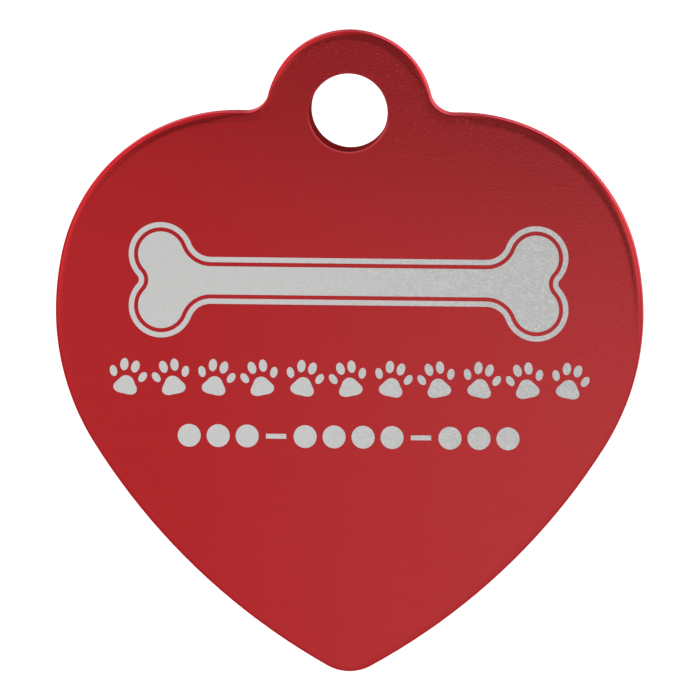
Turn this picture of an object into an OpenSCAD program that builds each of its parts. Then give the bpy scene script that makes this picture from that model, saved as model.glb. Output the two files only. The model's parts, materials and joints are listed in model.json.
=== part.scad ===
// Heart-shaped pet id tag: one plate of aluminium sheet, blanked, pierced, tumbled and anodised.
// Units are millimetres. The tag hangs in the XZ plane with its face towards -Y and its tip
// straight down. The origin is the centre of the ring hole, halfway through the sheet.

/* [Plate] */
// Width across the heart at its widest line
tag_w = 31.75; // [29:0.25:34]
// Height from the tip to the top of the ear
tag_h = 34.9; // [33:0.1:37]
// Thickness of the sheet
thickness = 1.5; // [1.2:0.1:2.4]

/* [Heart outline] */
// Drop from the ring hole to the widest line
widest_drop = 11; // [10:0.1:12]
// Radius of the side above the widest line
upper_side_r = 15.2; // [13:0.1:18]
// Angle that the side turns through before the shoulder takes over
upper_side_turn = 12.5; // [6:0.5:20]
// Radius of the shoulder
shoulder_r = 9.7; // [8:0.1:11]
// Radius of the side below the widest line
lower_side_r = 13.6; // [11:0.1:16]
// Radius of the flank, which runs on to the tip
flank_r = 35; // [28:0.5:60]
// Radius of the tip
tip_r = 2.4; // [2:0.1:4]

/* [Ear] */
// Radius of the ear around the ring hole
ear_r = 4.5; // [4.2:0.1:5.5]
// How far the middle of the ear lies below the middle of the ring hole
ear_drop = 0.15; // [0:0.05:0.4]
// Radius of the hollow between ear and shoulder
neck_r = 1.3; // [0.8:0.1:2.5]
// Diameter of the ring hole
hole_d = 4.2; // [3:0.1:4.8]

/* [Edges] */
// How far in from the edge the face begins to roll over
roll_w = 1.1; // [0.8:0.05:1.3]
// Angle that the roll has turned through where the edge radius begins
roll_turn = 1.5; // [1:0.5:12]
// Tumbled radius between the rolled face and the edge
front_edge_r = 0.45; // [0.3:0.05:0.55]
// Tumbled radius between the back and the edge
back_edge_r = 0.25; // [0.1:0.05:0.4]
// Radius on both rims of the ring hole
hole_rim_r = 0.08; // [0.05:0.01:0.3]

/* [Hidden] */

$fn = 120;

// Anodised red of the plate
anodised_red = [0.67, 0.16, 0.17];

// Furthest that a chord of the swept edge may stray from its true arc
chord_sag = 0.008;
// Flat land around the rims of the ring hole, which joins the turned ring to the plate
hole_land = 0.4;

hole_r = hole_d / 2;
hole_ring_w = hole_rim_r + hole_land;

// Point at an angle on an arc
function on_arc(centre, r, angle) = centre + r * [cos(angle), sin(angle)];

// Angle of the line from one point to another
function bearing(from, to) = atan2(to.y - from.y, to.x - from.x);

// Where two circles cross: side is 1 for the left of the way from a to b, and -1 for the right
function crossing(a, ra, b, rb, side) =
    let (span = norm(b - a), way = (b - a) / span)
    let (along = (ra * ra - rb * rb + span * span) / (2 * span))
    a + along * way + side * sqrt(ra * ra - along * along) * [-way.y, way.x];

// The outline is a chain of arcs, each tangent to the next. These are the centres of its right
// half, from the top down, in the plane of the plate, with y up. The ends of the arcs follow
// from the centres, because two arcs meet on the line through their centres.
ear_c = [0, -ear_drop];
upper_side_c = [tag_w / 2 - upper_side_r, -widest_drop];
shoulder_c = on_arc(upper_side_c, upper_side_r - shoulder_r, upper_side_turn);
neck_c = crossing(ear_c, ear_r + neck_r, shoulder_c, shoulder_r + neck_r, 1);
lower_side_c = [tag_w / 2 - lower_side_r, -widest_drop];
tip_c = [0, ear_r - ear_drop - tag_h + tip_r];
flank_c = crossing(lower_side_c, flank_r - lower_side_r, tip_c, flank_r - tip_r, -1);

ear_end = bearing(ear_c, neck_c);
shoulder_end = bearing(shoulder_c, neck_c);
flank_start = bearing(flank_c, lower_side_c);
flank_end = bearing(flank_c, tip_c);

// Number of equal chords that keep within chord_sag of an arc
function chord_count(r, turn) = max(1, ceil(abs(turn) / (2 * acos(1 - chord_sag / r))));

// Section of the edge, from the flat face round to the flat back, with the outermost line at
// x = 0 and the plate on its left. A wide arc rolls the face over by roll_turn, and the tumbled
// radius takes it on to the edge. A smaller tumbled radius turns it under to the back.
roll_r = front_edge_r + (roll_w - front_edge_r) / sin(roll_turn);
roll_c = [-roll_w, thickness / 2 - roll_r];
front_edge_c = on_arc(roll_c, roll_r - front_edge_r, 90 - roll_turn);
back_edge_c = [-back_edge_r, back_edge_r - thickness / 2];

// Points along an arc of the section, without its first one
function section_arc(centre, r, from, to) =
    let (n = chord_count(r, to - from))
    [for (k = [1 : n]) on_arc(centre, r, from + (to - from) * k / n)];

edge_section = concat(
    [[-roll_w, thickness / 2]],
    section_arc(roll_c, roll_r, 90, 90 - roll_turn),
    section_arc(front_edge_c, front_edge_r, 90 - roll_turn, 0),
    [[0, back_edge_c.y]],
    section_arc(back_edge_c, back_edge_r, 0, -90)
);

// Stations along an arc of the outline, each a point with its outward direction. The last one
// is left out, because it begins the next arc. A hollow arc has its outward side at its centre.
function arc_stations(centre, r, from, to, outward = 1) =
    let (n = chord_count(r, to - from))
    [for (k = [0 : n - 1])
        let (ray = on_arc([0, 0], 1, from + (to - from) * k / n))
        [centre + r * ray, outward * ray]];

// Right half of the outline, from the tip up to the top of the ear
right_stations = concat(
    arc_stations(tip_c, tip_r, -90, flank_end),
    arc_stations(flank_c, flank_r, flank_end, flank_start),
    arc_stations(lower_side_c, lower_side_r, flank_start, 0),
    arc_stations(upper_side_c, upper_side_r, 0, upper_side_turn),
    arc_stations(shoulder_c, shoulder_r, upper_side_turn, shoulder_end),
    arc_stations(neck_c, neck_r, shoulder_end - 180, ear_end - 180, -1),
    arc_stations(ear_c, ear_r, ear_end, 90),
    [[on_arc(ear_c, ear_r, 90), [0, 1]]]
);

function mirrored(v) = [-v.x, v.y];

// The whole outline, counterclockwise from the tip
stations = concat(
    right_stations,
    [for (k = [len(right_stations) - 2 : -1 : 1])
        [mirrored(right_stations[k][0]), mirrored(right_stations[k][1])]]
);

// The plate without its hole: the section swept once round the outline, and closed by the
// flat face and the flat back
module swept_plate() {
    rows = len(stations);
    cols = len(edge_section);
    points = [
        for (s = stations, e = edge_section)
            let (p = s[0] + e.x * s[1])
            [p.x, p.y, e.y]
    ];
    edge_faces = [
        for (row = [0 : rows - 1], col = [0 : cols - 2])
            let (a = row * cols + col, b = (row + 1) % rows * cols + col)
            each [[a, b, b + 1], [a, b + 1, a + 1]]
    ];
    face = [for (row = [rows - 1 : -1 : 0]) row * cols];
    back = [for (row = [0 : rows - 1]) row * cols + cols - 1];
    polyhedron(points, concat([face, back], edge_faces));
}

// Section of the ring round the hole, with the wall of the hole at x = 0. A quarter circle
// breaks the rim on each side.
module hole_section() {
    difference() {
        translate([0, -thickness / 2]) square([hole_ring_w, thickness]);
        for (side = [0, 1])
            mirror([0, side])
                difference() {
                    translate([-hole_rim_r, thickness / 2 - hole_rim_r]) square(2 * hole_rim_r);
                    translate([hole_rim_r, thickness / 2 - hole_rim_r]) circle(hole_rim_r);
                }
    }
}

// The blank, laid flat with its face up. The hole is pierced wide and then lined with a turned
// ring, which carries the true wall and its rounded rims.
module flat_blank() {
    difference() {
        swept_plate();
        cylinder(h = 2 * thickness, r = hole_r + hole_rim_r + hole_land / 2, center = true);
    }
    rotate_extrude() translate([hole_r, 0]) hole_section();
}

module tag_blank()
    color(anodised_red)
        rotate([90, 0, 0])
            flat_blank();

tag_blank();
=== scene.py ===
# %% [markdown]
# # A heart-shaped pet id tag
# The real tag is one plate of aluminium, 1.5 mm thick. A press blanks the heart and pierces the
# ring hole, a tumbling barrel rounds the edges, and a bath grows a dyed red film on the metal.
# A laser then burns the film away where the owner wants marks, and bare metal shows there.
# This lesson builds the plate as one closed mesh, cuts shallow marks into its face, lays bare
# metal in them, and lights the whole as a small product is lit on a white table.

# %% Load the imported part
import json
from collections import namedtuple
from math import atan2, ceil, cos, pi, radians, sin, sqrt

import bpy
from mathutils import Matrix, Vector
from mathutils.geometry import delaunay_2d_cdt


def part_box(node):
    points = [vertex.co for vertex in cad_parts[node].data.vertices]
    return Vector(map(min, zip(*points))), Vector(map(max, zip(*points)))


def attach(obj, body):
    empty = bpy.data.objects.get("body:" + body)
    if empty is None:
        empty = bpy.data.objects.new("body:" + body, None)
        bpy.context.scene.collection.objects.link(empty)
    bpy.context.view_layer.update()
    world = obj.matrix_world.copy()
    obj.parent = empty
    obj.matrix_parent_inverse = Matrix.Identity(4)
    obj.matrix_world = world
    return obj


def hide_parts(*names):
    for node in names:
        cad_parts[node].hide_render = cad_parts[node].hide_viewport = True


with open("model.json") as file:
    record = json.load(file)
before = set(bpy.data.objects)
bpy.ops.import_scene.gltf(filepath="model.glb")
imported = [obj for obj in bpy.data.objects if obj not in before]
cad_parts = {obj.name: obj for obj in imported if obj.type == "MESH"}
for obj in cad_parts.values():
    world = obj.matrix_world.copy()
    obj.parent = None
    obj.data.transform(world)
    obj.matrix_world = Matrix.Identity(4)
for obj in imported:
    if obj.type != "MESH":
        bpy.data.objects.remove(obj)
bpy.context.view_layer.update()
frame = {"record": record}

MM = 0.001

# %% [markdown]
# ## Sizes of the plate
# The plate's width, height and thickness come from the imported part, and so does its ring hole.
# What the box can't say, such as the radii of the outline, is written here as the drawing has it.
# The tag hangs in the XZ plane with its face towards -Y, and the hole's centre is the origin.

# %% Sizes of the plate
low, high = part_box("tag_blank")
TAG_W = high.x - low.x
THICKNESS = high.y - low.y
EAR_TOP, TIP_BOTTOM = high.z, low.z

mounts = {mount["name"]: mount for mount in frame["record"]["mounts"]}
HOLE_R = mounts["ring_hole"]["dims"]["r_mm"] * MM
HOLE_RIM_R = (THICKNESS - mounts["ring_hole"]["dims"]["length_mm"] * MM) / 2

WIDEST_DROP = 11 * MM
UPPER_SIDE_R, UPPER_SIDE_TURN = 15.2 * MM, radians(12.5)
SHOULDER_R = 9.7 * MM
LOWER_SIDE_R = 13.6 * MM
FLANK_R = 35 * MM
TIP_R = 2.4 * MM
EAR_R = 4.5 * MM
NECK_R = 1.3 * MM

ROLL_W, ROLL_TURN = 0.54 * MM, radians(1.5)
FRONT_EDGE_R, NECK_EDGE_R = 0.41 * MM, 0.12 * MM
BACK_EDGE_R = 0.25 * MM
print("plate in mm:", [round(v / MM, 2) for v in (TAG_W, THICKNESS, EAR_TOP, TIP_BOTTOM, HOLE_R)])

# %% [markdown]
# ## An outline of tangent arcs
# A press tool is drawn with circles that flow into each other, so the outline is a chain of arcs.
# Two arcs are tangent where they meet if that point lies on the line through both centres. So only
# centres and radii are needed, and the ends of each arc follow from its neighbours. A Bezier curve
# could trace the same shape, but its curvature would wander, and a tumbled edge shows that at once.
# Walking the chain gives stations: a point and the direction that leads outwards there. An inset
# line, such as the start of the edge's rounding, is then only a step back from each station.

# %% Arcs and stations
Arc = namedtuple("Arc", "centre r start end outward", defaults=(1,))
Station = namedtuple("Station", "point outward")
UP, DOWN, RIGHT = radians(90), radians(-90), 0.0


def on_arc(centre, r, angle):
    return Vector((centre[0] + r * cos(angle), centre[1] + r * sin(angle)))


def bearing(a, b):
    return atan2(b[1] - a[1], b[0] - a[0])


def crossing(a, ra, b, rb, side):
    """Where two circles cross, on the left (1) or the right (-1) of the way from a to b."""
    span = (b - a).length
    way = (b - a) / span
    along = (ra * ra - rb * rb + span * span) / (2 * span)
    return a + along * way + side * sqrt(ra * ra - along * along) * Vector((-way.y, way.x))


def walk(arcs, step):
    """Stations along a chain of arcs, a step of angle apart, with each joint taken once."""
    stations = []
    for arc in arcs:
        count = max(1, ceil(abs(arc.end - arc.start) / step))
        angles = [arc.start + (arc.end - arc.start) * k / count for k in range(count)]
        rays = [on_arc((0, 0), 1, angle) for angle in angles + [arc.end] * (arc is arcs[-1])]
        stations += [Station(arc.centre + arc.r * ray, arc.outward * ray) for ray in rays]
    return stations


def mirrored(stations, x=1, y=1):
    """The same stations seen in a mirror across x or y, and walked the other way."""
    flip = lambda v: Vector((v.x * x, v.y * y))
    return [Station(flip(s.point), flip(s.outward)) for s in reversed(stations)]


def inset(stations, depth):
    return [s.point - depth * s.outward for s in stations]


# %% The heart and its ear
ear_c = Vector((0, EAR_TOP - EAR_R))
tip_c = Vector((0, TIP_BOTTOM + TIP_R))
upper_side_c = Vector((TAG_W / 2 - UPPER_SIDE_R, -WIDEST_DROP))
lower_side_c = Vector((TAG_W / 2 - LOWER_SIDE_R, -WIDEST_DROP))
shoulder_c = on_arc(upper_side_c, UPPER_SIDE_R - SHOULDER_R, UPPER_SIDE_TURN)
neck_c = crossing(ear_c, EAR_R + NECK_R, shoulder_c, SHOULDER_R + NECK_R, 1)
flank_c = crossing(lower_side_c, FLANK_R - LOWER_SIDE_R, tip_c, FLANK_R - TIP_R, -1)

ear_end, shoulder_end = bearing(ear_c, neck_c), bearing(shoulder_c, neck_c)
flank_start, flank_end = bearing(flank_c, lower_side_c), bearing(flank_c, tip_c)

OUTLINE_STEP = radians(1.5)
right_half = walk([
    Arc(tip_c, TIP_R, DOWN, flank_end),
    Arc(flank_c, FLANK_R, flank_end, flank_start),
    Arc(lower_side_c, LOWER_SIDE_R, flank_start, RIGHT),
    Arc(upper_side_c, UPPER_SIDE_R, RIGHT, UPPER_SIDE_TURN),
    Arc(shoulder_c, SHOULDER_R, UPPER_SIDE_TURN, shoulder_end),
    Arc(neck_c, NECK_R, shoulder_end - pi, ear_end - pi, -1),
    Arc(ear_c, EAR_R, ear_end, UP),
], OUTLINE_STEP)
outline = right_half + mirrored(right_half, x=-1)[1:-1]
print("outline:", len(outline), "stations")

# %% [markdown]
# ## The section of the edge
# Blanking drags the face down a little near the cut. On this tag that roll turns through only a
# degree and a half, but a face that shines shows it as a darker line round the outline. Tumbling
# then turns the corner into a radius. The stones in the barrel reach a hollow less than a bulge, so
# the radius shrinks towards the two necks, and the edge stays almost sharp there.
#
# A section walks from the flat face round to the flat back. Each of its points has a step in from
# the outermost line, a height, and the angle of its normal, which is 90 degrees on the face, 0 on
# the straight wall and -90 on the back. Keeping the true normals lets a modest mesh shine like a
# real radius. Every section has the same count of points, so a band of faces can join them.

# %% Points of a section
SectionPoint = namedtuple("SectionPoint", "inset height normal")
SECTION_STEP, ROLL_STEP = radians(6), radians(0.25)


def section_arc(centre, r, start, end, step):
    """Points of a section along an arc, at most a step of angle apart."""
    count = ceil(abs(end - start) / step)
    angles = [start + (end - start) * k / count for k in range(count + 1)]
    points = [on_arc(centre, r, angle) for angle in angles]
    return [SectionPoint(-p.x, p.y, angle) for p, angle in zip(points, angles)]


# %% Sections of the edge and of the hole
NECK_END, BULGE_START = 0.8 * MM, 2.8 * MM
HOLE_STEP = radians(4)

half = THICKNESS / 2
neck_middle = on_arc(neck_c, NECK_R, (shoulder_end + ear_end) / 2 - pi)


def edge_radius(point):
    """Front radius of the edge at a point of the outline, by its distance from the nearer neck."""
    away = (Vector((abs(point.x), point.y)) - neck_middle).length
    t = min(max((away - NECK_END) / (BULGE_START - NECK_END), 0), 1)
    return NECK_EDGE_R + (FRONT_EDGE_R - NECK_EDGE_R) * t * t * (3 - 2 * t)


def edge_section(front_r):
    """The section of the edge with this front radius: roll, front radius, wall and back radius."""
    roll_r = front_r + (ROLL_W - front_r) / sin(ROLL_TURN)
    roll_c = (-ROLL_W, half - roll_r)
    front_c = on_arc(roll_c, roll_r - front_r, UP - ROLL_TURN)
    back_c = (-BACK_EDGE_R, BACK_EDGE_R - half)
    return (
        section_arc(roll_c, roll_r, UP, UP - ROLL_TURN, ROLL_STEP)
        + section_arc(front_c, front_r, UP - ROLL_TURN, RIGHT, SECTION_STEP)[1:]
        + section_arc(back_c, BACK_EDGE_R, RIGHT, DOWN, SECTION_STEP)
    )


edge_sections = [edge_section(edge_radius(station.point)) for station in outline]
hole_section = (
    section_arc((-HOLE_RIM_R, half - HOLE_RIM_R), HOLE_RIM_R, UP, RIGHT, SECTION_STEP)
    + section_arc((-HOLE_RIM_R, HOLE_RIM_R - half), HOLE_RIM_R, RIGHT, DOWN, SECTION_STEP)
)
hole_line = walk([Arc(Vector((0, 0)), HOLE_R, 0, 2 * pi, -1)], HOLE_STEP)[:-1]
print("edge section:", len(edge_sections[0]), "points; hole section:", len(hole_section))

# %% [markdown]
# ## The marks
# Bought blank, the tag is bare. Lasered, it carries a large figure with a gap and an outline round
# it, a line of small figures under that, and a shorter line at the foot. Here these are a bone, a
# row of paw prints, and a row of dots grouped by dashes. Every mark is first a flat loop in the
# plane of the face. The loops are used twice: to cut the shallow floor of each mark into the plate,
# and to make the bare metal that lies on that floor. Metal always lies on the left of a loop.

# %% Places of the three rows on the face
BONE_Z, PAWS_Z, DOTS_Z = -9.25 * MM, -14.6 * MM, -17.72 * MM
BONE_L, BONE_H = 23.8 * MM, 6.3 * MM
PAWS_W, PAW_H = 26.1 * MM, 2.15 * MM
DOTS_W, DOT_D = 18.5 * MM, 1.25 * MM


def placed(loop, drop):
    return [Vector((p[0], p[1] + drop)) for p in loop]


# %% [markdown]
# ### The bone
# A bone is four round knobs, two hollow notches at its ends, and a shaft that flows into the knobs
# through hollow arcs. It is the same kind of chain as the tag's own outline, so the same walk draws
# it, and stepping in from its stations gives the gap and the solid middle with an even width.

# %% The bone's three loops
KNOB_R, NOTCH_R = 1.74 * MM, 0.35 * MM
SHAFT_HALF, SHAFT_HOLLOW_R = 1.28 * MM, 1.15 * MM
BORDER_W, GAP_W = 0.29 * MM, 0.22 * MM
BONE_STEP = radians(5)

knob_c = Vector((BONE_L / 2 - KNOB_R, BONE_H / 2 - KNOB_R))
notch_reach = sqrt((KNOB_R + NOTCH_R) ** 2 - knob_c.y ** 2)
notch_c = Vector((knob_c.x + notch_reach, 0))
hollow_y = SHAFT_HALF + SHAFT_HOLLOW_R
hollow_reach = sqrt((KNOB_R + SHAFT_HOLLOW_R) ** 2 - (hollow_y - knob_c.y) ** 2)
hollow_c = Vector((knob_c.x - hollow_reach, hollow_y))

quarter = walk([
    Arc(notch_c, NOTCH_R, pi, bearing(notch_c, knob_c), -1),
    Arc(knob_c, KNOB_R, bearing(knob_c, notch_c), bearing(knob_c, hollow_c)),
    Arc(hollow_c, SHAFT_HOLLOW_R, bearing(hollow_c, knob_c), DOWN, -1),
], BONE_STEP)
top_half = quarter + mirrored(quarter, x=-1)
bone = top_half + mirrored(top_half, y=-1)[1:-1]
bone_loops = [
    placed(inset(bone, 0), BONE_Z),
    placed(inset(bone, BORDER_W), BONE_Z)[::-1],
    placed(inset(bone, BORDER_W + GAP_W), BONE_Z),
]
print("bone:", len(bone), "points in each of", len(bone_loops), "loops")

# %% [markdown]
# ### Node trees written as sums
# The rows of small marks come from Geometry Nodes, and the finishes from shader nodes. Both kinds
# of tree are easier to read when the maths in them looks like maths. A Wire is the output of a
# node, and a sum on wires adds Math nodes. A Bench holds a tree and adds every other kind of node,
# with its settings first and then what goes into its sockets.

# %% Wires and benches
def plug(value, socket):
    """Links a wire, or each wire of a list, to a socket. Anything else is set on the socket."""
    for one in value if isinstance(value, list) else [value]:
        if isinstance(one, Wire):
            socket.id_data.links.new(one.socket, socket)
        else:
            socket.default_value = one


class Wire:
    """The output of a node. A sum on wires adds Math nodes to the same tree."""

    def __init__(self, socket):
        self.socket = socket

    def __getitem__(self, name):
        return Wire(self.socket.node.outputs[name])

    def maths(self, operation, *values):
        node = self.socket.id_data.nodes.new("ShaderNodeMath")
        node.operation = operation
        for value, socket in zip(values, node.inputs):
            plug(value, socket)
        return Wire(node.outputs[0])

    def __add__(self, other):
        return self.maths("ADD", self, other)

    def __sub__(self, other):
        return self.maths("SUBTRACT", self, other)

    def __rsub__(self, other):
        return self.maths("SUBTRACT", other, self)

    def __mul__(self, other):
        return self.maths("MULTIPLY", self, other)

    def __mod__(self, other):
        return self.maths("MODULO", self, other)

    __radd__ = __add__
    __rmul__ = __mul__


class Bench:
    """A node tree on the bench. add() sets a node up, fills its sockets and returns its wire."""

    def __init__(self, tree):
        self.tree = tree
        tree.nodes.clear()

    def add(self, kind, settings=None, **sockets):
        node = self.tree.nodes.new(kind)
        for name, value in (settings or {}).items():
            setattr(node, name, value)
        for name, value in sockets.items():
            wanted = name.replace("_", " ")
            plug(value, next(s for s in node.inputs if s.enabled and s.name == wanted))
        return Wire(next((s for s in node.outputs if s.enabled), None))

    def point(self, x=0.0, y=0.0, z=0.0):
        return self.add("ShaderNodeCombineXYZ", X=x, Y=y, Z=z)


# %% [markdown]
# ### Growing a mesh from a tree
# A geometry tree gets its sizes through named inputs, so that one tree can serve other tags too.
# It ends in Realize Instances and Set Material, because copies that exist only as instances are
# lost on export. The evaluated result is then taken over as a plain mesh.

# %% Seeds and rows
anodised_red = bpy.data.materials.new("anodised_red")
bare_aluminium = bpy.data.materials.new("bare_aluminium")


def row_bench(name, sizes):
    """A geometry bench whose tree has these inputs, and the wires that carry them."""
    tree = bpy.data.node_groups.new(name, "GeometryNodeTree")
    tree.interface.new_socket("Row", in_out="OUTPUT", socket_type="NodeSocketGeometry")
    for label, value in sizes.items():
        kind = "NodeSocketInt" if isinstance(value, int) else "NodeSocketFloat"
        tree.interface.new_socket(label, in_out="INPUT", socket_type=kind)
    b = Bench(tree)
    given = b.add("NodeGroupInput")
    return b, {label: given[label] for label in sizes}


def row_of(b, count, pitch, choices):
    """Places shapes along a centred line, each where its own selection says, and ends the tree."""
    first = b.point(x=(count - 1) * pitch * -0.5)
    line = b.add(
        "GeometryNodeMeshLine", {"mode": "OFFSET"},
        Count=count, Start_Location=first, Offset=b.point(x=pitch),
    )
    rows = [
        b.add("GeometryNodeInstanceOnPoints", Points=line, Instance=shape, **how)
        for shape, how in choices
    ]
    joined = b.add("GeometryNodeJoinGeometry", Geometry=rows)
    real = b.add("GeometryNodeRealizeInstances", Geometry=joined)
    dressed = b.add("GeometryNodeSetMaterial", Geometry=real, Material=bare_aluminium)
    b.add("NodeGroupOutput", Row=dressed)


def grown_loops(tree, sizes, drop):
    """The flat polygons that a tree makes with these sizes, each as a loop on the face."""
    seed = bpy.data.objects.new("seed", bpy.data.meshes.new("seed"))
    bpy.context.scene.collection.objects.link(seed)
    modifier = seed.modifiers.new("row", "NODES")
    modifier.node_group = tree
    inputs = {s.name: s.identifier for s in tree.interface.items_tree if s.in_out == "INPUT"}
    for label, value in sizes.items():
        modifier[inputs[label]] = value
    graph = bpy.context.evaluated_depsgraph_get()
    mesh = bpy.data.meshes.new_from_object(seed.evaluated_get(graph))
    bpy.data.objects.remove(seed)
    loops = []
    for polygon in mesh.polygons:
        loop = placed([mesh.vertices[k].co for k in polygon.vertices], drop)
        loops.append(loop if polygon.normal.z > 0 else loop[::-1])
    return loops


# %% [markdown]
# ### A row of paw prints
# A paw is a heel pad under four toes. The heel starts as a circle whose radius swells three times
# round, which gives the soft triangle of the real pad. The toes are stretched circles, each placed
# once on the right and once on the left. Every second paw leans the other way, as a trail does.

# %% The paw row
# A pad's x, y, half width and half height are shares of the paw's height, and its turn is in
# degrees. The toes are those on the right.
HEEL = (0, -0.21, 0.285, 0.235, 0)
TOES = ((0.142, 0.315, 0.105, 0.158, -6), (0.375, 0.095, 0.092, 0.142, -24))
HEEL_POINTS, TOE_POINTS = 40, 28


def paw_row(sizes):
    b, size = row_bench("paw_row", sizes)
    disc = {"fill_type": "NGON"}
    place = b.add("GeometryNodeInputPosition")
    spot = b.add("ShaderNodeSeparateXYZ", Vector=place)
    turn = spot.maths("ARCTAN2", spot["Y"], spot["X"])
    swell = 1.0 - turn.maths("SINE", turn * 3.0) * size["Swell"]
    swollen = b.add("ShaderNodeVectorMath", {"operation": "SCALE"}, Vector=place, Scale=swell)
    circle = b.add("GeometryNodeMeshCircle", disc, Vertices=HEEL_POINTS, Radius=1.0)
    heel = b.add("GeometryNodeSetPosition", Geometry=circle, Position=swollen)
    toe = b.add("GeometryNodeMeshCircle", disc, Vertices=TOE_POINTS, Radius=1.0)

    def pad(shape, x, y, half_width, half_height, turned):
        height = size["Height"]
        return b.add(
            "GeometryNodeTransform", Geometry=shape,
            Translation=b.point(height * x, height * y),
            Rotation=(0, 0, radians(turned)),
            Scale=b.point(height * half_width, height * half_height, 1.0),
        )

    pads = [pad(heel, *HEEL)]
    for side in (1, -1):
        for x, y, half_width, half_height, turned in TOES:
            pads.append(pad(toe, side * x, y, half_width, half_height, side * turned))
    paw = b.add("GeometryNodeJoinGeometry", Geometry=pads)

    lean = (b.add("GeometryNodeInputIndex") % 2.0 - 0.5) * size["Lean"]
    row_of(b, size["Paws"], size["Pitch"], [(paw, {"Rotation": b.point(z=lean)})])
    return b.tree


PAWS = 11
paw_sizes = {
    "Paws": PAWS, "Pitch": (PAWS_W - PAW_H) / (PAWS - 1), "Height": PAW_H,
    "Lean": radians(24), "Swell": 0.13,
}
paw_loops = grown_loops(paw_row(paw_sizes), paw_sizes, PAWS_Z)
print("paws:", len(paw_loops), "pads")


# %% [markdown]
# ### A row of dots and dashes
# Ten dots stand in groups of three, four and three, with a dash between the groups. The tree draws
# one dot and one dash, and the index of each place on the line picks which of the two goes there.

# %% The dot row
DOT_POINTS = 48


def dot_row(sizes):
    b, size = row_bench("dot_row", sizes)
    disc = {"fill_type": "NGON"}
    dot = b.add("GeometryNodeMeshCircle", disc, Vertices=DOT_POINTS, Radius=size["Dot"] * 0.5)
    dash = b.add(
        "GeometryNodeMeshGrid", Size_X=size["Dash"], Size_Y=size["Stroke"],
        Vertices_X=2, Vertices_Y=2,
    )
    index = b.add("GeometryNodeInputIndex")
    at = lambda label: index.maths("COMPARE", index, size[label], 0.5)
    is_dash = at("First dash") + at("Second dash")
    row_of(b, size["Places"], size["Pitch"], [
        (dot, {"Selection": 1.0 - is_dash}),
        (dash, {"Selection": is_dash}),
    ])
    return b.tree


PLACES = 12
dot_sizes = {
    "Places": PLACES, "Pitch": (DOTS_W - DOT_D) / (PLACES - 1), "Dot": DOT_D,
    "Dash": 1.1 * MM, "Stroke": 0.27 * MM, "First dash": 3, "Second dash": 8,
}
dot_loops = grown_loops(dot_row(dot_sizes), dot_sizes, DOTS_Z)
print("dots and dashes:", len(dot_loops))

# %% [markdown]
# ## The plate as one closed mesh
# The edge is a grid: one row for each station and one column for each point of the section. The
# face and the back are flat, and a constrained triangulation fills them between the edge, the hole
# and the marks. Cutting the marks with a Boolean modifier would work as well, but this way no
# vertex moves, and each corner of each face can be given its true normal. Points are built lying
# flat, as x, y and a height, and hung up at the end, when the height turns into -Y.

# %% A mesh with a normal for every corner
FACE, BACK = (0, 0, 1), (0, 0, -1)
SAME_POINT = 1e-7


class Solid:
    """Collects corners and faces lying flat, then hangs them up as a mesh with true normals."""

    def __init__(self):
        self.points, self.faces, self.normals = [], [], []

    def add_points(self, points, height):
        first = len(self.points)
        self.points += [(p[0], p[1], height) for p in points]
        return list(range(first, first + len(points)))

    def add_face(self, corners, normals):
        self.faces.append(corners)
        self.normals += normals

    def add_flat(self, corners, normal):
        self.add_face(corners, [normal] * len(corners))

    def sweep(self, stations, sections, order):
        """A closed band with a section at each station. order is 1 outside and -1 in a hole."""
        rows, normals = [], []
        for (point, outward), section in zip(stations, sections):
            rows.append([self.add_points([point - s.inset * outward], s.height)[0] for s in section])
            normals.append([(*(outward * cos(s.normal)), sin(s.normal)) for s in section])
        for i in range(len(stations)):
            j = (i + 1) % len(stations)
            for c in range(len(rows[i]) - 1):
                ring = [(i, c), (i, c + 1), (j, c + 1), (j, c)][::order]
                self.add_face([rows[r][k] for r, k in ring], [normals[r][k] for r, k in ring])
        return [row[0] for row in rows], [row[-1] for row in rows]

    def wall(self, upper, lower, order):
        """A step between two copies of a loop. It faces right of the way for order 1."""
        for k in range(len(upper)):
            n = (k + 1) % len(upper)
            way = Vector(self.points[upper[n]]) - Vector(self.points[upper[k]])
            right = Vector((way.y, -way.x, 0)).normalized() * order
            self.add_flat([lower[k], lower[n], upper[n], upper[k]][::order], tuple(right))

    def hang_up(self, name, material):
        turned = lambda v: (v[0], -v[2], v[1])
        mesh = bpy.data.meshes.new(name)
        mesh.from_pydata([turned(p) for p in self.points], [], self.faces)
        mesh.materials.append(material)
        mesh.shade_smooth()
        mesh.normals_split_custom_set([turned(n) for n in self.normals])
        piece = bpy.data.objects.new(name, mesh)
        bpy.context.scene.collection.objects.link(piece)
        return piece


def filled(loops):
    """Triangles between loops: corners as (loop, place), and the loops that go round each."""
    spots = [(n, k) for n, loop in enumerate(loops) for k in range(len(loop))]
    number = {spot: k for k, spot in enumerate(spots)}
    flat = [Vector(loops[n][k][:2]) / MM for n, k in spots]
    rings = [[number[n, k] for k in range(len(loop))] for n, loop in enumerate(loops)]
    area = lambda ring: sum(flat[a].cross(flat[b]) for a, b in zip(ring, ring[1:] + ring[:1]))
    leftward = [ring if area(ring) > 0 else ring[::-1] for ring in rings]
    points, _, faces, sources, _, owners = delaunay_2d_cdt(flat, [], leftward, 0, SAME_POINT, True)
    assert len(points) == len(flat), "two loops cross"
    corners = [[spots[sources[k][0]] for k in face] for face in faces]
    return list(zip(corners, map(set, owners)))


# %% Build the plate
MARK_DEPTH = 0.03 * MM
EDGE, RIM, FIRST_MARK = 0, 1, 2

plate = Solid()
face_edge, back_edge = plate.sweep(outline, edge_sections, 1)
face_rim, back_rim = plate.sweep(hole_line, [hole_section] * len(hole_line), -1)
on_plate = lambda spots: [plate.points[k] for k in spots]

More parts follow.
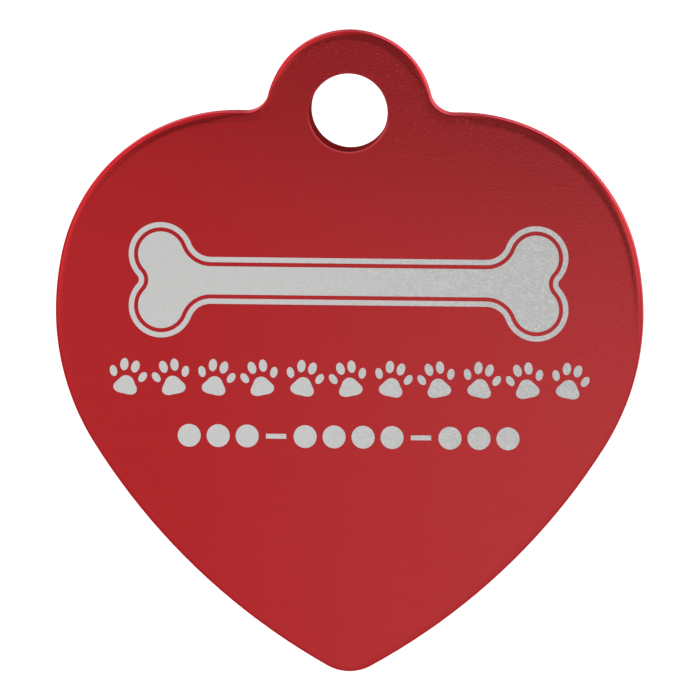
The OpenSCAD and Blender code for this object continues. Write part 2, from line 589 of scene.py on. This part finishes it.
mark_loops = bone_loops + paw_loops + dot_loops
brink = [face_edge, face_rim] + [plate.add_points(loop, half) for loop in mark_loops]
floor = [face_edge, face_rim] + [plate.add_points(loop, half - MARK_DEPTH) for loop in mark_loops]
for upper, lower in list(zip(brink, floor))[FIRST_MARK:]:
    plate.wall(upper, lower, -1)

marked = []
for corners, around in filled([on_plate(spots) for spots in brink]):
    if EDGE in around and RIM not in around:
        sunk = len(around) % 2 == 0
        level = floor if sunk else brink
        plate.add_flat([level[n][k] for n, k in corners], FACE)
        if sunk:
            marked.append(corners)

back = [back_edge, back_rim]
for corners, around in filled([on_plate(spots) for spots in back]):
    if EDGE in around and RIM not in around:
        plate.add_flat([back[n][k] for n, k in reversed(corners)], BACK)

tag_plate = plate.hang_up("tag_plate", anodised_red)
print("plate:", len(plate.faces), "faces, with", len(marked), "triangles on the floors of marks")

# %% [markdown]
# ### Bare metal in the marks
# The laser leaves a skin of matt bare metal on the floor of each mark. It is its own thin closed
# plate here, cut by the same loops and triangles as the floor, so it fits without a gap, and the
# red plate and the bare metal each keep one clean material.

# %% Lay the bare metal
SKIN_DROP = 0.008 * MM


def bare_skin(name, first, loops):
    """The bare metal inside some neighbouring loops, the first of which has this number."""
    skin = Solid()
    uppers = [skin.add_points(loop, half - SKIN_DROP) for loop in loops]
    lowers = [skin.add_points(loop, half - MARK_DEPTH) for loop in loops]
    for upper, lower in zip(uppers, lowers):
        skin.wall(upper, lower, 1)
    numbers = range(first, first + len(loops))
    for corners in marked:
        if corners[0][0] in numbers:
            skin.add_flat([uppers[n - first][k] for n, k in corners], FACE)
            skin.add_flat([lowers[n - first][k] for n, k in reversed(corners)], BACK)
    return skin.hang_up(name, bare_aluminium)


skins, first_loop = [], FIRST_MARK
for name, loops in (("laser_bone", bone_loops), ("laser_paws", paw_loops), ("laser_dots", dot_loops)):
    skins.append(bare_skin(name, first_loop, loops))
    first_loop += len(loops)
print("bare metal:", {skin.name: len(skin.data.polygons) for skin in skins})

# %% [markdown]
# ## The red film
# Dyed anodising is clear oxide full of dye on bright metal. Light goes through the dye to the metal
# and back, so the reflection itself is red: a metal with a red base colour. At a grazing angle the
# oxide's own surface mirrors some white as well, so the colour there is pinker. Towards the right
# the base colour is paler and a little brighter, a painted sheen of the light from that side.
#
# The sheet was brushed along X before the bath, which shows as fine streaks, three times as long as
# they are high, and as patches of short pale nicks and dark dents. All are stronger at the upper
# right, as painted raking light: the grain shows there as a light from that side would show it.
# They vary the colour, and streaks and nicks tilt the normal a very little. The face shines the
# most. The edge is duller from the barrel, and a height below the face tells the two apart. The
# punch leaves a rough wall in the ring hole, whose dark colour is painted shade, and a low lip
# round its lower half, whose paler colour is a painted highlight. The distance from the hole's
# centre places these.

# %% Helpers for finishes
NOISE_ROUGH = 0.7


def streaks(b, place, length, height, detail=2.0):
    """Noise drawn out along X, from 0 to 1 with its middle at 0.5."""
    scale = (1 / length, 1 / height, 1 / height)
    drawn = b.add("ShaderNodeVectorMath", {"operation": "MULTIPLY"}, Vector=place)
    drawn.socket.node.inputs[1].default_value = scale
    return b.add("ShaderNodeTexNoise", Vector=drawn, Scale=1.0, Detail=detail, Roughness=NOISE_ROUGH)


def ramp(b, value, start, end, low=0.0, high=1.0):
    """A smooth step from low, where the value is at the start, to high at the end."""
    return b.add(
        "ShaderNodeMapRange", {"interpolation_type": "SMOOTHSTEP"},
        Value=value, From_Min=start, From_Max=end, To_Min=low, To_Max=high,
    )


def blend(b, factor, first, second):
    return b.add("ShaderNodeMix", {"data_type": "RGBA"}, Factor=factor, A=first, B=second)


# %% The anodised finish
DEEP_RED, BRIGHT_RED = (0.36, 0.017, 0.02, 1.0), (0.46, 0.024, 0.0275, 1.0)
# Paler, brighter reds used towards the right: a painted sheen of the light from that side.
DEEP_SHEEN_RED, BRIGHT_SHEEN_RED = (0.38, 0.033, 0.036, 1.0), (0.48, 0.042, 0.045, 1.0)
GRAZING_RED = (0.75, 0.29, 0.33, 1.0)
# Dark red for the ring hole's wall: painted shade inside the hole.
SHADED_WALL_RED = (0.26, 0.02, 0.018, 1.0)
# Paler red: a painted highlight on the lip below the hole, and wear on the pale nicks.
WORN_AND_HIGHLIT_RED = (0.53, 0.07, 0.085, 1.0)
SHEEN_START, SHEEN_END = -10 * MM, 14 * MM
FACE_ROUGH, EDGE_ROUGHER, TORN_ROUGHER = 0.11, 0.21, 0.5
TUMBLED_DEPTH = 0.05 * MM

STREAK_L, STREAK_H = 0.36 * MM, 0.11 * MM
PATCH_L, PATCH_H = 8 * STREAK_L, 5 * STREAK_H
NICK_L, NICK_H = 0.25 * MM, 0.075 * MM
PATCH_LEVELS, NICK_LEVELS, DENT_LEVELS = (0.35, 0.6), (0.61, 0.68), (0.39, 0.32)
# The grain is painted stronger towards the upper right, as painted raking light.
RAKE_X, RAKE_Z = 0.6, 0.8
RAKE_START, RAKE_END, LEAST_RAKED = -5.5 * MM, 4 * MM, 0.08
STREAK_SHARE, STREAK_DEPTH = 0.2, 0.006 * MM
STREAK_TONE, DENT_TONE, PATCH_TONE = 0.3, 0.5, 0.25

WALL_END, WALL_START = 0.05 * MM, 0.02 * MM
LIP_END, LIP_TOP, LIP_H = 0.16 * MM, 0.07 * MM, 0.016 * MM
LIP_DROP = (0.2 * MM, -1.2 * MM)
# The lip's share of the paler red is a painted highlight.
LIP_HIGHLIGHT, NICK_WORN = 0.8, 0.45


def finish_anodised(material):
    material.use_nodes = True
    b = Bench(material.node_tree)
    place = b.add("ShaderNodeTexCoord")["Object"]
    spot = b.add("ShaderNodeSeparateXYZ", Vector=place)
    across = spot["X"]
    level = b.point(x=across, z=spot["Z"])
    radius = b.add("ShaderNodeVectorMath", {"operation": "LENGTH"}, Vector=level)
    fine = streaks(b, place, STREAK_L, STREAK_H, 3.0)
    broad = streaks(b, place, PATCH_L, PATCH_H)
    # Painted raking light: the grain grows stronger towards the upper right.
    upper_right = across * RAKE_X + spot["Z"] * RAKE_Z
    raked_light = ramp(b, upper_right, RAKE_START, RAKE_END, LEAST_RAKED, 1.0)
    short = streaks(b, place, NICK_L, NICK_H, 1.0)
    patch = ramp(b, broad, *PATCH_LEVELS) * raked_light
    nicks = ramp(b, short, *NICK_LEVELS) * patch
    dents = ramp(b, short, *DENT_LEVELS) * patch
    streak = (fine - 0.5) * raked_light * STREAK_SHARE - nicks
    tone = 0.5 + streak * STREAK_TONE - dents * DENT_TONE + (broad - 0.5) * PATCH_TONE
    full_film = blend(b, tone, DEEP_RED, BRIGHT_RED)
    sheened_film = blend(b, tone, DEEP_SHEEN_RED, BRIGHT_SHEEN_RED)
    # Painted sheen: the colour turns paler and brighter towards the right.
    right_sheen = b.add("ShaderNodeMapRange", Value=across, From_Min=SHEEN_START, From_Max=SHEEN_END)
    brushed = b.add("ShaderNodeBump", Strength=1.0, Distance=STREAK_DEPTH, Height=streak)
    lip = ramp(b, radius, HOLE_R + LIP_END, HOLE_R + LIP_TOP) * ramp(b, spot["Z"], *LIP_DROP)
    lipped = b.add("ShaderNodeBump", Strength=1.0, Distance=LIP_H, Height=lip, Normal=brushed)
    # Painted shade on the hole's wall, which is also rougher.
    torn_and_shaded = ramp(b, radius, HOLE_R + WALL_END, HOLE_R + WALL_START)
    # Painted highlight on the lip below the hole; the pale nicks take the paler red as wear.
    worn_and_highlit = lip * (1.0 - torn_and_shaded) * LIP_HIGHLIGHT + nicks * NICK_WORN
    film = blend(b, worn_and_highlit, blend(b, right_sheen, full_film, sheened_film), WORN_AND_HIGHLIT_RED)
    tumbled = ramp(b, spot["Y"], -half, TUMBLED_DEPTH - half)
    shader = b.add(
        "ShaderNodeBsdfPrincipled", Metallic=1.0, Specular_Tint=GRAZING_RED,
        Base_Color=blend(b, torn_and_shaded, film, SHADED_WALL_RED),
        Roughness=FACE_ROUGH + tumbled * EDGE_ROUGHER + torn_and_shaded * TORN_ROUGHER,
        Normal=lipped,
    )
    b.add("ShaderNodeOutputMaterial", Surface=shader)


finish_anodised(anodised_red)
print("anodised:", len(anodised_red.node_tree.nodes), "nodes")

# %% [markdown]
# ## The bare metal
# The laser melts the skin of the metal in tight lines, and it freezes matt and pale with tiny
# crystals that sparkle. So it is a rougher metal without a tint, whose brightness varies from
# grain to grain. It is darker and grainier towards the right.

# %% The lasered finish
GRAIN_L, GRAIN_H = 0.15 * MM, 0.1 * MM
GRAIN_DEPTH, GRAIN_BUMP = 0.01 * MM, 0.4
PALE, PALER = (0.605, 0.605, 0.6, 1.0), (0.81, 0.81, 0.8, 1.0)
GRAINY_START, GRAINY_END, LEAST_GRAINY = -6 * MM, 12 * MM, 0.25
SKIN_TONE, GRAINY_DARKER, SPECK_TONE = 0.65, 0.45, 3.0
SKIN_ROUGH, SPECK_ROUGHER = 0.42, 0.2


def finish_lasered(material):
    material.use_nodes = True
    b = Bench(material.node_tree)
    place = b.add("ShaderNodeTexCoord")["Object"]
    across = b.add("ShaderNodeSeparateXYZ", Vector=place)["X"]
    grain = streaks(b, place, GRAIN_L, GRAIN_H)
    grainy = ramp(b, across, GRAINY_START, GRAINY_END, LEAST_GRAINY, 1.0)
    speck = (grain - 0.5) * grainy
    tone = SKIN_TONE - grainy * GRAINY_DARKER + speck * SPECK_TONE
    normal = b.add("ShaderNodeBump", Strength=GRAIN_BUMP, Distance=GRAIN_DEPTH, Height=speck)
    shader = b.add(
        "ShaderNodeBsdfPrincipled", Metallic=1.0, Base_Color=blend(b, tone, PALE, PALER),
        Roughness=SKIN_ROUGH + speck * SPECK_ROUGHER, Normal=normal,
    )
    b.add("ShaderNodeOutputMaterial", Surface=shader)


finish_lasered(bare_aluminium)
print("lasered:", len(bare_aluminium.node_tree.nodes), "nodes")

# %% [markdown]
# ## The white table
# The tag hangs a little above a table of white paper, which rises far behind it as a backdrop. The
# paper keeps the tag's shadow, and a share of plain white that only the camera and reflections see
# lifts it to white. Less lamplight reaches the paper far behind, so the camera sees more of that
# share there. It looks down on the upright face by 8.5 degrees, so what the face mirrors is the
# table in front of it. Reflections find less of that share on a round patch in front and to the
# right, where a camera stand keeps the light off the paper. That is why the ear and the right
# shoulder are darker than the tip.

# %% The table
TABLE_DROP = 7 * MM
TABLE_SIDE, TABLE_FRONT, TABLE_BACK = 0.5, 0.42, 0.9
BACKDROP_H = 0.6
TABLE_WHITE, TABLE_ROUGH = 0.3, 0.9
PLAIN_LEVEL, SHADED_LEVEL = 0.8, 0.25
WHITER_START, WHITER_END = 0.1, 0.25
SHADE_X, SHADE_Y, SHADE_CORE, SHADE_END = 0.083, -0.313, 0.108, 0.145


def white_table():
    height = TIP_BOTTOM - TABLE_DROP
    top = height + BACKDROP_H
    corners = [
        (-TABLE_SIDE, -TABLE_FRONT, height), (TABLE_SIDE, -TABLE_FRONT, height),
        (TABLE_SIDE, TABLE_BACK, height), (-TABLE_SIDE, TABLE_BACK, height),
        (TABLE_SIDE, TABLE_BACK, top), (-TABLE_SIDE, TABLE_BACK, top),
    ]
    mesh = bpy.data.meshes.new("white_table")
    mesh.from_pydata(corners, [], [(0, 1, 2, 3), (3, 2, 4, 5)])
    table = bpy.data.objects.new("white_table", mesh)
    bpy.context.scene.collection.objects.link(table)

    material = bpy.data.materials.new("white_paper")
    material.use_nodes = True
    b = Bench(material.node_tree)
    ray = b.add("ShaderNodeLightPath")
    place = b.add("ShaderNodeTexCoord")["Object"]
    spot = b.add("ShaderNodeSeparateXYZ", Vector=place)
    away = b.add(
        "ShaderNodeVectorMath", {"operation": "LENGTH"},
        Vector=b.point(x=spot["X"] - SHADE_X, y=spot["Y"] - SHADE_Y),
    )
    mirrored_level = ramp(b, away, SHADE_CORE, SHADE_END, SHADED_LEVEL, PLAIN_LEVEL)
    seen_level = ramp(b, spot["Y"], WHITER_START, WHITER_END, PLAIN_LEVEL, 1.0)
    level = ray["Is Camera Ray"] * seen_level + ray["Is Glossy Ray"] * mirrored_level
    white = (TABLE_WHITE, TABLE_WHITE, TABLE_WHITE, 1.0)
    paper = b.add("ShaderNodeBsdfPrincipled", Base_Color=white, Roughness=TABLE_ROUGH)
    glow = b.add("ShaderNodeEmission", Color=(1.0, 1.0, 1.0, 1.0), Strength=level)
    both = b.add("ShaderNodeAddShader")
    plug(paper, both.socket.node.inputs[0])
    plug(glow, both.socket.node.inputs[1])
    b.add("ShaderNodeOutputMaterial", Surface=both)
    mesh.materials.append(material)
    return table


table = white_table()
print("table drop in mm:", round(TABLE_DROP / MM, 2))

# %% [markdown]
# ## The light
# A tumbled edge is drawn by what it mirrors. Two long softboxes stand left and right of the tag, a
# little behind it, and brighten the wall and the outer part of the edge. A third stands higher on
# the left. A dim window in front on the left fills the edge on its side. The room is dim above and
# in front, so the inner part of the edge mirrors that dimness and draws a dark line inside the
# bright one. The lamps are hidden from the camera, which sees the room as white.

# %% The room
ROOM = 0.42
middle = Vector((0, 0, (EAR_TOP + TIP_BOTTOM) / 2))


def light_room():
    world = bpy.data.worlds.new("room")
    bpy.context.scene.world = world
    world.use_nodes = True
    b = Bench(world.node_tree)
    seen = b.add("ShaderNodeLightPath")["Is Camera Ray"]
    light = ROOM + seen * (1.0 - ROOM)
    background = b.add("ShaderNodeBackground", Color=(1.0, 1.0, 1.0, 1.0), Strength=light)
    b.add("ShaderNodeOutputWorld", Surface=background)


def stand_softbox(name, turn, tilt, distance, width, height, radiance):
    """A softbox that faces the tag from a turn (0 in front, 90 right) and a tilt above it."""
    level = distance * cos(radians(tilt))
    place = middle + Vector((
        level * sin(radians(turn)), -level * cos(radians(turn)), distance * sin(radians(tilt))
    ))
    light = bpy.data.lights.new(name, "AREA")
    light.shape = "RECTANGLE"
    light.size, light.size_y = width, height
    light.energy = radiance * width * height * pi
    lamp = bpy.data.objects.new(name, light)
    lamp.location = place
    lamp.rotation_euler = (middle - place).to_track_quat("-Z", "Y").to_euler()
    lamp.visible_camera = False
    bpy.context.scene.collection.objects.link(lamp)
    return lamp


light_room()
for name, turn, tilt, distance, width, height, radiance in (
    ("left_softbox", -114, 15, 0.35, 1.15, 0.53, 0.72),
    ("right_softbox", 126, 9, 0.4, 1.1, 0.26, 1.3),
    ("high_softbox", -119, 48, 0.45, 0.6, 0.6, 0.7),
    ("window", -56, 7, 0.4, 0.6, 0.2, 0.65),
):
    stand_softbox(name, turn, tilt, distance, width, height, radiance)
print("lamps:", [o.name for o in bpy.data.objects if o.type == "LIGHT"])

# %% [markdown]
# ## The camera
# A tag is photographed from far off through a long lens, which leaves its outline without
# perspective, so an orthographic camera has the right picture. It stands 4.3 degrees to the right
# and 8.5 degrees above, which the wall seen inside the ring hole gives away.

# %% The camera
AZIMUTH, ELEVATION = radians(4.3), radians(8.5)
PIXELS = 700
PIXELS_PER_MM = 18.53
HOLE_PIXEL = (349.6, 110.3)
CAMERA_AWAY, CLIP_START, CLIP_END = 0.2, 1 * MM, 2.0


def set_camera():
    side = Vector((cos(AZIMUTH), sin(AZIMUTH), 0))
    back_way = Vector((
        sin(AZIMUTH) * cos(ELEVATION), -cos(AZIMUTH) * cos(ELEVATION), sin(ELEVATION)
    ))
    upward = back_way.cross(side)
    right_of_hole = (PIXELS / 2 - HOLE_PIXEL[0]) / PIXELS_PER_MM * MM
    above_hole = (HOLE_PIXEL[1] - PIXELS / 2) / PIXELS_PER_MM * MM
    aim = right_of_hole * side + above_hole * upward

    lens = bpy.data.cameras.new("camera")
    lens.type = "ORTHO"
    lens.ortho_scale = PIXELS / PIXELS_PER_MM * MM
    lens.clip_start, lens.clip_end = CLIP_START, CLIP_END
    camera = bpy.data.objects.new("camera", lens)
    camera.location = aim + CAMERA_AWAY * back_way
    camera.rotation_euler = back_way.to_track_quat("Z", "Y").to_euler()
    bpy.context.scene.collection.objects.link(camera)
    bpy.context.scene.camera = camera


set_camera()
bpy.context.scene.view_settings.view_transform = "Standard"
print("picture width in mm:", round(PIXELS / PIXELS_PER_MM, 2))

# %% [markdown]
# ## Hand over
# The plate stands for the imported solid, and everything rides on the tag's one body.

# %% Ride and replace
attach(tag_plate, "root")
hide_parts("tag_blank")
for skin in skins:
    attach(skin, "root")
